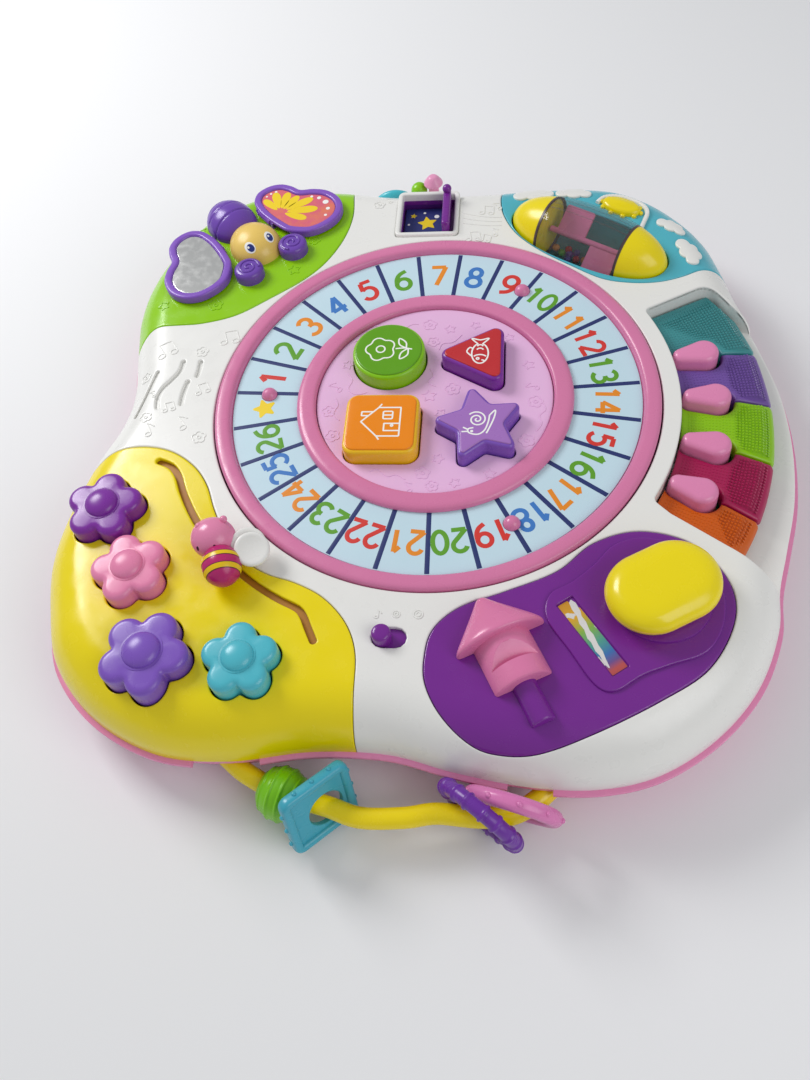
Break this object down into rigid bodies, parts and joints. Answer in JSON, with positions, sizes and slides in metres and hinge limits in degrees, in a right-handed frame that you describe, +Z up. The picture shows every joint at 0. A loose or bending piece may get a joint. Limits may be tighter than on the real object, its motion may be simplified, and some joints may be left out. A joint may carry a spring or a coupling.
{
  "type": "musical activity table",
  "caption": "Baby activity table top: turning number dial, press buttons, short keyboard, roller, slide whistle, butterfly wings and a bead bar on a lobed case with leg sockets.",
  "frame": {"origin": "on the dial's axis, at the flat underside that the table rests on", "axes": "+X to the right of the player, +Y away from the player to the back, +Z up"},
  "size_m": [0.4522, 0.4865, 0.0895],
  "materials": {
    "rim_pink": "satin",
    "shell_white": "glossy",
    "panel_yellow": "glossy",
    "panel_green": "glossy",
    "panel_blue": "glossy",
    "panel_purple": "glossy",
    "disc_pink": "satin",
    "tray_grey": "matte",
    "well_indigo": "matte",
    "board_green": "matte",
    "pad_rubber": "matte",
    "speaker_black": "matte",
    "screw_steel": "satin",
    "bar_yellow": "glossy",
    "fly_purple": "glossy",
    "fly_beige": "glossy",
    "figure_teal": "glossy",
    "wing_mirror": "polished",
    "dial_pink": "glossy",
    "label_blue": "printed film",
    "button_green": "glossy",
    "face_green": "glossy",
    "button_purple": "glossy",
    "face_red": "glossy",
    "button_yellow": "glossy",
    "face_orange": "glossy",
    "button_violet": "glossy",
    "face_lilac": "glossy",
    "flower_plum": "glossy",
    "flower_pink": "glossy",
    "flower_violet": "glossy",
    "flower_teal": "glossy",
    "key_teal": "fine texture",
    "key_purple": "fine texture",
    "key_lime": "fine texture",
    "key_magenta": "fine texture",
    "key_orange": "fine texture",
    "key_pink": "glossy",
    "bee_magenta": "glossy",
    "bee_pink": "glossy",
    "whistle_pink": "glossy",
    "knob_yellow": "glossy",
    "drum_clear": "clear, smoky",
    "bead_green": "glossy",
    "bead_teal": "glossy",
    "bead_violet": "glossy",
    "bead_pink": "glossy"
  },
  "bodies": {
    "table": {"bottom_shell": "rim_pink", "top_shell": "shell_white", "yellow_panel": "panel_yellow", "green_panel": "panel_green", "blue_panel": "panel_blue", "purple_panel": "panel_purple", "centre_disc": "disc_pink", "centre_ring": "dial_pink", "dial_tray": "tray_grey", "key_bed": "shell_white", "window_frame": "shell_white", "window_well": "well_indigo", "circuit_boards": "board_green", "contact_pads": "pad_rubber", "speaker": "speaker_black", "battery_door": "rim_pink", "screws": "screw_steel", "bead_bar": "bar_yellow", "butterfly_body": "fly_purple", "butterfly_head": "fly_beige", "back_figures": "figure_teal"},
    "dial": {"dial_ring": "dial_pink", "dial_label": "label_blue"},
    "button_circle": {"button_circle": "button_green", "button_circle_face": "face_green"},
    "button_triangle": {"button_triangle": "button_purple", "button_triangle_face": "face_red"},
    "button_square": {"button_square": "button_yellow", "button_square_face": "face_orange"},
    "button_star": {"button_star": "button_violet", "button_star_face": "face_lilac"},
    "flower_plum": {"flower_plum": "flower_plum"},
    "flower_pink": {"flower_pink": "flower_pink"},
    "flower_violet": {"flower_violet": "flower_violet"},
    "flower_teal": {"flower_teal": "flower_teal"},
    "key_teal": {"key_teal": "key_teal"},
    "key_purple": {"key_purple": "key_purple"},
    "key_lime": {"key_lime": "key_lime"},
    "key_magenta": {"key_magenta": "key_magenta"},
    "key_orange": {"key_orange": "key_orange"},
    "sharp_1": {"sharp_1": "key_pink"},
    "sharp_2": {"sharp_2": "key_pink"},
    "sharp_3": {"sharp_3": "key_pink"},
    "sharp_4": {"sharp_4": "key_pink"},
    "bee": {"bee_body": "bee_magenta", "bee_head": "bee_pink"},
    "whistle": {"whistle": "whistle_pink"},
    "knob": {"knob": "knob_yellow"},
    "roller": {"roller_drum": "drum_clear", "roller_caps": "knob_yellow", "roller_paddles": "whistle_pink"},
    "shutter": {"shutter": "panel_purple"},
    "switch": {"switch_knob": "panel_purple"},
    "ball": {"bead_ball": "bead_green"},
    "square": {"bead_square": "bead_teal"},
    "ring_violet": {"ring_violet": "bead_violet"},
    "ring_pink": {"ring_pink": "bead_pink"},
    "wing_left": {"wing_left": "fly_purple", "wing_mirror": "wing_mirror"},
    "wing_right": {"wing_right": "fly_purple"}
  },
  "joints": [
    {"name": "dial_turn", "type": "hinge", "parent": "table", "child": "dial", "pos_m": [0, 0, 0.06], "axis": [0, 0, 1], "continuous": true},
    {"name": "circle_press", "type": "slide", "parent": "table", "child": "button_circle", "axis": [0, 0, -1], "range_m": [0, 0.003], "stiffness_N_per_m": 1500, "springref_m": -0.002},
    {"name": "triangle_press", "type": "slide", "parent": "table", "child": "button_triangle", "axis": [0, 0, -1], "range_m": [0, 0.003], "stiffness_N_per_m": 1500, "springref_m": -0.002},
    {"name": "square_press", "type": "slide", "parent": "table", "child": "button_square", "axis": [0, 0, -1], "range_m": [0, 0.003], "stiffness_N_per_m": 1500, "springref_m": -0.002},
    {"name": "star_press", "type": "slide", "parent": "table", "child": "button_star", "axis": [0, 0, -1], "range_m": [0, 0.003], "stiffness_N_per_m": 1500, "springref_m": -0.002},
    {"name": "plum_press", "type": "slide", "parent": "table", "child": "flower_plum", "axis": [0, 0, -1], "range_m": [0, 0.003], "stiffness_N_per_m": 1500, "springref_m": -0.002},
    {"name": "pink_press", "type": "slide", "parent": "table", "child": "flower_pink", "axis": [0, 0, -1], "range_m": [0, 0.003], "stiffness_N_per_m": 1500, "springref_m": -0.002},
    {"name": "violet_press", "type": "slide", "parent": "table", "child": "flower_violet", "axis": [0, 0, -1], "range_m": [0, 0.003], "stiffness_N_per_m": 1500, "springref_m": -0.002},
    {"name": "teal_press", "type": "slide", "parent": "table", "child": "flower_teal", "axis": [0, 0, -1], "range_m": [0, 0.003], "stiffness_N_per_m": 1500, "springref_m": -0.002},
    {"name": "teal_key_press", "type": "hinge", "parent": "table", "child": "key_teal", "pos_m": [0.1447, 0.05153, 0.0416], "axis": [-0.3355, 0.9421, 0], "range_deg": [0, 3.4], "stiffness_Nm_per_rad": 1, "springref_deg": -3.44},
    {"name": "purple_key_press", "type": "hinge", "parent": "table", "child": "key_purple", "pos_m": [0.15266, 0.01699, 0.0416], "axis": [-0.1106, 0.9939, 0], "range_deg": [0, 3.4], "stiffness_Nm_per_rad": 1, "springref_deg": -3.44},
    {"name": "lime_key_press", "type": "hinge", "parent": "table", "child": "key_lime", "pos_m": [0.15283, -0.01539, 0.0416], "axis": [0.1002, 0.995, 0], "range_deg": [0, 3.4], "stiffness_Nm_per_rad": 1, "springref_deg": -3.44},
    {"name": "magenta_key_press", "type": "hinge", "parent": "table", "child": "key_magenta", "pos_m": [0.14629, -0.04683, 0.0416], "axis": [0.3049, 0.9524, 0], "range_deg": [0, 3.4], "stiffness_Nm_per_rad": 1, "springref_deg": -3.44},
    {"name": "orange_key_press", "type": "hinge", "parent": "table", "child": "key_orange", "pos_m": [0.13499, -0.07329, 0.0416], "axis": [0.4772, 0.8788, 0], "range_deg": [0, 3.4], "stiffness_Nm_per_rad": 1, "springref_deg": -3.44},
    {"name": "sharp_1_press", "type": "hinge", "parent": "table", "child": "sharp_1", "pos_m": [0.15007, 0.03272, 0.0416], "axis": [-0.213, 0.977, 0], "range_deg": [0, 5.5], "stiffness_Nm_per_rad": 1, "springref_deg": -3.44},
    {"name": "sharp_2_press", "type": "hinge", "parent": "table", "child": "sharp_2", "pos_m": [0.1536, 0.00107, 0.0416], "axis": [-0.007, 1, 0], "range_deg": [0, 5.5], "stiffness_Nm_per_rad": 1, "springref_deg": -3.44},
    {"name": "sharp_3_press", "type": "hinge", "parent": "table", "child": "sharp_3", "pos_m": [0.1503, -0.03167, 0.0416], "axis": [0.2062, 0.9785, 0], "range_deg": [0, 5.5], "stiffness_Nm_per_rad": 1, "springref_deg": -3.44},
    {"name": "sharp_4_press", "type": "hinge", "parent": "table", "child": "sharp_4", "pos_m": [0.14075, -0.06149, 0.0416], "axis": [0.4003, 0.9164, 0], "range_deg": [0, 5.5], "stiffness_Nm_per_rad": 1, "springref_deg": -3.44},
    {"name": "bee_track", "type": "hinge", "parent": "table", "child": "bee", "pos_m": [0, 0, 0.064], "axis": [0, 0, 1], "range_deg": [-23, 18]},
    {"name": "whistle_slide", "type": "slide", "parent": "table", "child": "whistle", "axis": [0.4478, -0.8942, 0], "range_m": [0, 0.018]},
    {"name": "knob_turn", "type": "hinge", "parent": "table", "child": "knob", "pos_m": [0.1275, -0.1395, 0.07], "axis": [0, 0, 1], "range_deg": [-45, 45]},
    {"name": "roller_spin", "type": "hinge", "parent": "table", "child": "roller", "pos_m": [0.0984, 0.1362, 0.0616], "axis": [0.8526, -0.5225, 0], "continuous": true},
    {"name": "shutter_slide", "type": "slide", "parent": "table", "child": "shutter", "axis": [-1, 0, 0], "range_m": [0, 0.028]},
    {"name": "switch_slide", "type": "slide", "parent": "table", "child": "switch", "axis": [1, 0, 0], "range_m": [0, 0.0074]},
    {"name": "ball_slide", "type": "slide", "parent": "table", "child": "ball", "axis": [0.9483, -0.3173, 0], "range_m": [-0.002, 0.002]},
    {"name": "square_slide", "type": "slide", "parent": "table", "child": "square", "axis": [0.9703, -0.2419, 0], "range_m": [-0.002, 0.004]},
    {"name": "ring_violet_slide", "type": "slide", "parent": "table", "child": "ring_violet", "axis": [0.9994, -0.0349, 0], "range_m": [-0.003, 0.0005]},
    {"name": "ring_pink_slide", "type": "slide", "parent": "table", "child": "ring_pink", "axis": [0.9903, -0.1392, 0], "range_m": [-0.0005, 0.003]},
    {"name": "wing_left_lift", "type": "hinge", "parent": "table", "child": "wing_left", "pos_m": [-0.15365, 0.12581, 0.067], "axis": [-0.66, 0.7513, 0], "range_deg": [0, 75]},
    {"name": "wing_right_lift", "type": "hinge", "parent": "table", "child": "wing_right", "pos_m": [-0.12135, 0.15419, 0.067], "axis": [0.66, -0.7513, 0], "range_deg": [0, 75]}
  ]
}
